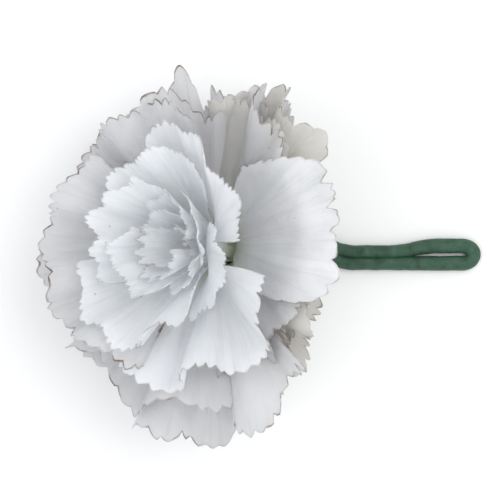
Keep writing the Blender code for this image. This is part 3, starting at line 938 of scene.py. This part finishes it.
def sidestep(x):
    """How far to one side of the throat the stem lies."""
    step = STEM_SIDESTEP * smooth((x - SIDESTEP_STARTS[0]) / SIDESTEP_STARTS[1])
    return step + (LEG_IN_LOOP - LEG_IN_STEM) * loop_opening(x)


def bend_start():
    """How far from the throat, along the axis, the stem starts to bend."""
    return (THROAT[2] - SLEEVE_RADIUS - BEND_RADIUS * (1 - math.cos(TILT))) / math.sin(TILT)


def stem_line(along):
    """Points and up directions on the stem's middle line; along is 0 where it starts to bend."""
    along = np.asarray(along, float)
    straight = bend_start() + np.minimum(along, 0)
    left = TILT - np.clip(along / BEND_RADIUS, 0, TILT)
    x = math.cos(TILT) * straight + BEND_RADIUS * (math.sin(TILT) - np.sin(left))
    x = x + np.maximum(0, along - BEND_RADIUS * TILT)
    z = THROAT[2] - math.sin(TILT) * straight - BEND_RADIUS * (np.cos(left) - math.cos(TILT))
    points = np.stack([THROAT[0] + x, THROAT[1] + sidestep(x), z], axis=-1)
    return points, np.stack([np.sin(left), np.zeros_like(left), np.cos(left)], axis=-1)


def hairpin(start, spacing):
    """The wire's middle line and the up direction beside it."""
    loop_middle = STEM_REACH - SLEEVE_RADIUS - LOOP_DEPTH
    bent_to = math.cos(TILT) * bend_start() + BEND_RADIUS * math.sin(TILT)
    end = BEND_RADIUS * TILT + loop_middle - bent_to
    leg, up = stem_line(np.arange(start, end, spacing))
    x = leg[:, 0] - THROAT[0]
    closed_in = smooth((x - LEGS_CLOSE[0]) / LEGS_CLOSE[1])
    offset = mix(LEG_BESIDE_STUB, LEG_IN_STEM, closed_in)
    offset = mix(offset, LEG_IN_LOOP, loop_opening(x))[:, None] * np.array((0, 1, 0))
    middle, _ = stem_line(end)
    turn = np.linspace(0, np.pi, round(BOW_LENGTH / spacing))[:, None]
    bow = middle + LOOP_DEPTH * np.sin(turn) * (1, 0, 0) + LEG_IN_LOOP * np.cos(turn) * (0, 1, 0)
    flat = np.broadcast_to(np.array((0, 0, 1.0)), bow.shape)
    return (
        np.concatenate([leg + offset, bow, (leg - offset)[::-1]]),
        np.concatenate([up, flat, up[::-1]]),
    )


def tape_edge(wound, edge_width, fall):
    """The step of a tape's outer turn: up within edge_width of a turn, then slowly down."""
    return smooth(wound / edge_width) * (1 - fall * wound)


def make_wire_tape():
    """Crepe tape wound round the doubled wire, its edges a little proud."""
    path, up = hairpin(SLEEVE_TOP, TAPE_SPACING)
    tangent = np.gradient(path, axis=0)
    step = np.linalg.norm(tangent, axis=1, keepdims=True)
    tangent /= step
    side = np.cross(tangent, up)
    side /= np.linalg.norm(side, axis=1, keepdims=True)
    up = np.cross(side, tangent)
    along = np.cumsum(step[:, 0])[:, None]
    round_by = np.linspace(0, 1, TAPE_COLUMNS, endpoint=False)[None, :]
    angle = 2 * np.pi * round_by
    rng = np.random.default_rng(SEED)
    crepe = np.zeros((len(path), TAPE_COLUMNS))
    for _ in range(CREPE_WAVES):
        lengthwise = rng.uniform(0.2, 2.2)
        turns = rng.integers(1, 9)
        crepe += np.sin(lengthwise * along + turns * angle + rng.uniform(0, 6.28)) / (2 + turns)
    edge = TAPE_STEP * (tape_edge((along / TAPE_PITCH - round_by) % 1, *TAPE_EDGE) - 0.4)
    radius = SLEEVE_RADIUS * TAPE_OVER_SLEEVE + edge + CREPE_DEPTH * crepe
    opened = loop_opening(path[:, 0] - THROAT[0])[:, None]
    wide = radius * (TAPE_WIDTH + TAPE_WIDER_IN_LOOP * opened)
    high = radius * TAPE_HEIGHT
    points = (
        path[:, None, :]
        + side[:, None, :] * (wide * np.cos(angle))[..., None]
        + up[:, None, :] * (high * np.sin(angle))[..., None]
    )
    points[..., 2] = np.maximum(points[..., 2], TAPE_ABOVE_FLOOR)
    turns_long = float(along[-1, 0]) / (2 * np.pi)
    piece = grid_object("wire_tape_look", points, True, (1.0, turns_long))
    finish_piece(piece, tape_material("tape_wax"), "wire_tape", TAPE_THICKNESS, -1)


def averaged(rows):
    """A column of numbers, each averaged with its neighbours."""
    kernel = np.hanning(COLLAR_SOFTENING)
    kernel /= kernel.sum()
    return np.convolve(np.pad(rows[:, 0], COLLAR_SOFTENING // 2, "edge"), kernel, "valid")[:, None]


def make_collar():
    """Tape wound round the stub, the wire's legs beside it and the calyx's foot."""
    v = np.linspace(0, 1, COLLAR_ROWS)[:, None]
    u = np.linspace(0, 1, COLLAR_COLUMNS, endpoint=False)[None, :]
    along = mix(COLLAR_TOP, COLLAR_END, v)
    centre, up = stem_line(along[:, 0])
    s = -(bend_start() + along)
    at_calyx = np.where(s > calyx_foot(), calyx_radius(s), 0.0) + COLLAR_OFF_CALYX
    inner_low = LEG_BESIDE_STUB + SLEEVE_RADIUS + 2 * GAP
    half_width = averaged(np.maximum(inner_low, at_calyx) + COLLAR_WALL)
    past_stub = smooth((along - STUB_END) / COLLAR_LEAVES_STUB)
    inner = mix(STUB_RADIUS + GAP + COLLAR_OFF_STUB, SLEEVE_RADIUS + GAP, past_stub)
    half_height = averaged(np.maximum(inner, at_calyx) + COLLAR_WALL)
    angle = 2 * np.pi * u
    square = mix(1.0, COLLAR_SQUARENESS, smooth(3 * v))
    rise = np.sign(np.cos(angle)) * np.abs(np.cos(angle)) ** square
    across = np.sign(np.sin(angle)) * np.abs(np.sin(angle)) ** square
    proud = COLLAR_STEP * (tape_edge((along / COLLAR_PITCH - u) % 1, *COLLAR_EDGE) - 0.5)
    crumple = np.sin(9 * angle + 1.3 * along) * np.sin(4 * angle - 2.1 * along)
    proud = proud + COLLAR_CREPE * crumple
    points = (
        centre[:, None, :]
        + up[:, None, :] * ((half_height + proud) * rise)[..., None]
        + ((half_width + proud) * across)[..., None] * np.array((0, 1, 0))
    )
    points[..., 2] = np.maximum(points[..., 2], TAPE_ABOVE_FLOOR)
    piece = grid_object("collar_tape_look", points, True, (2.0, (COLLAR_END - COLLAR_TOP) / 6))
    wax = tape_material("collar_wax")
    finish_piece(piece, wax, "collar_tape", COLLAR_WALL * LOOK_WALL, -1)


def leaf_material(name, dark, light, ribs):
    """Waxy green skin with lengthwise veins, paler and yellower towards the top."""
    n = Nodes(name)
    uv = n.uv("surface")
    along = n.add("ShaderNodeSeparateXYZ", {0: uv}).outputs[1]
    veins = n.noise(n.stretched(uv, (ribs, 1.6, 1)), 1.0, 4.0, 0.2)
    cloud = n.noise(n.object_place(), 260.0, 5.0)
    between = tuple(0.5 * (d + l) + 0.05 for d, l in zip(dark, light))
    colour = n.blend(n.greys(along, (0.55, 0), (1.0, 1)), dark, light)
    colour = n.tinted(colour, n.greys(veins, (0.42, 0), (0.62, 1)), 0.5, between)
    colour = n.tinted(colour, cloud, 0.35, tuple(0.45 * d for d in dark))
    rough = n.greys(cloud, (0.3, 0.38), (0.7, 0.58))
    normal = n.bump(n.plus(veins, n.times(cloud, 0.4)), 0.5, 0.0004)
    n.skin(Base_Color=colour, Roughness=rough, Normal=normal)
    n.skin(Subsurface_Weight=0.08, Subsurface_Radius=(0.0004, 0.0009, 0.0003))
    return n.material


def tape_material(name):
    """Stretched crepe paper in green wax, browner in streaks that follow its crepe."""
    n = Nodes(name)
    place = n.object_place()
    fibres = n.noise(n.stretched(place, (260, 1500, 1500)), 1.0, 4.0)
    patches = n.noise(place, 330.0, 3.0, 0.8)
    crepe = n.noise(n.stretched(n.uv("surface"), (7, 34, 1), 0.7), 1.0, 3.0, 0.5)
    shades = ((0.30, (0.016, 0.050, 0.028)), (0.52, (0.030, 0.088, 0.052)), (0.78, (0.052, 0.135, 0.085)))
    colour = n.ramp(patches, *shades)
    colour = n.tinted(colour, n.greys(fibres, (0.5, 0), (0.72, 1)), 0.30, (0.075, 0.16, 0.105))
    colour = n.tinted(colour, n.greys(crepe, (0.62, 0), (0.78, 1)), 0.35, (0.10, 0.075, 0.035))
    rough = n.greys(fibres, (0.3, 0.36), (0.7, 0.62))
    normal = n.bump(n.plus(n.times(fibres, 0.5), crepe), 0.6, 0.0003)
    n.skin(Base_Color=colour, Roughness=rough, Normal=normal, Specular_IOR_Level=0.45)
    return n.material


def wire_material():
    """Dull galvanised steel with faint drawn lines."""
    n = Nodes("wire_zinc")
    place = n.object_place()
    lines = n.noise(n.stretched(place, (90, 2600, 2600)), 1.0, 3.0)
    spots = n.noise(place, 900.0, 3.0)
    colour = n.ramp(spots, (0.35, (0.33, 0.34, 0.34)), (0.65, (0.52, 0.53, 0.53)))
    rough = n.greys(lines, (0.3, 0.28), (0.7, 0.48))
    n.skin(Base_Color=colour, Roughness=rough, Normal=n.bump(lines, 0.3, 0.0001), Metallic=1.0)
    return n.material


def inner_material(name, dark, light):
    """Fleshy inner tissue, finely mottled."""
    n = Nodes(name)
    place = n.object_place()
    fine = n.noise(place, 1200.0, 4.0)
    broad = n.noise(place, 220.0, 2.0)
    colour = n.blend(n.greys(broad, (0.35, 0), (0.65, 1)), dark, light)
    colour = n.tinted(colour, fine, 0.3, tuple(0.6 * c for c in dark))
    rough = n.greys(fine, (0.3, 0.4), (0.7, 0.6))
    n.skin(Base_Color=colour, Roughness=rough, Normal=n.bump(fine, 0.4, 0.0002))
    return n.material


def dress_cad_nodes():
    """The nodes whose shape is right as it is get a fuller material."""
    for name, material in (
        ("pistil", inner_material("pistil_flesh", (0.55, 0.60, 0.30), (0.80, 0.82, 0.66))),
        ("flower_stem", inner_material("stem_flesh", (0.15, 0.26, 0.09), (0.26, 0.38, 0.16))),
        ("floral_wire", wire_material()),
    ):
        for slot in bpy.data.objects[name].material_slots:
            slot.material = material


# ------------------------------------------------------------ stage, metres

FLOOR_HALF = 2.0
SKY_STRENGTH = 0.93
LIGHT_SIZE = 0.50
CAMERA_PLACE = (-0.00255, 0.0003, 1.0)
CAMERA_LENS = 367.5


def make_floor():
    mesh = bpy.data.meshes.new("floor")
    corners = [(x * FLOOR_HALF, y * FLOOR_HALF, 0) for x, y in ((-1, -1), (1, -1), (1, 1), (-1, 1))]
    mesh.from_pydata(corners, [], [(0, 1, 2, 3)])
    n = Nodes("floor_white")
    n.skin(Base_Color=(0.96, 0.96, 0.96, 1), Roughness=0.8)
    mesh.materials.append(n.material)
    floor = bpy.data.objects.new("floor", mesh)
    bpy.context.scene.collection.objects.link(floor)


def make_light():
    world = bpy.data.worlds.new("studio")
    world.use_nodes = True
    sky = world.node_tree.nodes["Background"]
    sky.inputs["Color"].default_value = (0.97, 0.985, 1.0, 1)
    sky.inputs["Strength"].default_value = SKY_STRENGTH
    bpy.context.scene.world = world
    add_area_light("key", (0.24, 0.12, 0.60), 1.2, (1.0, 0.985, 0.96))
    add_area_light("fill", (-0.28, -0.10, 0.55), 0.7, (0.94, 0.97, 1.0))


def add_area_light(name, place, power, colour):
    """A round soft light that faces the origin."""
    light = bpy.data.lights.new(name, "AREA")
    light.shape = "DISK"
    light.size = LIGHT_SIZE
    light.energy = power
    light.color = colour
    lamp = bpy.data.objects.new(name, light)
    bpy.context.scene.collection.objects.link(lamp)
    lamp.location = place
    lamp.rotation_euler = Vector(place).to_track_quat("Z", "Y").to_euler()


def make_camera():
    """It looks straight down."""
    camera = bpy.data.cameras.new("camera")
    camera.lens = CAMERA_LENS
    camera.sensor_width = 36
    eye = bpy.data.objects.new("camera", camera)
    bpy.context.scene.collection.objects.link(eye)
    eye.location = CAMERA_PLACE
    bpy.context.scene.camera = eye
    bpy.context.scene.view_settings.view_transform = "Standard"


make_petals()
make_calyx()
make_bracts()
make_wire_tape()
make_collar()
dress_cad_nodes()
make_floor()
make_light()
make_camera()
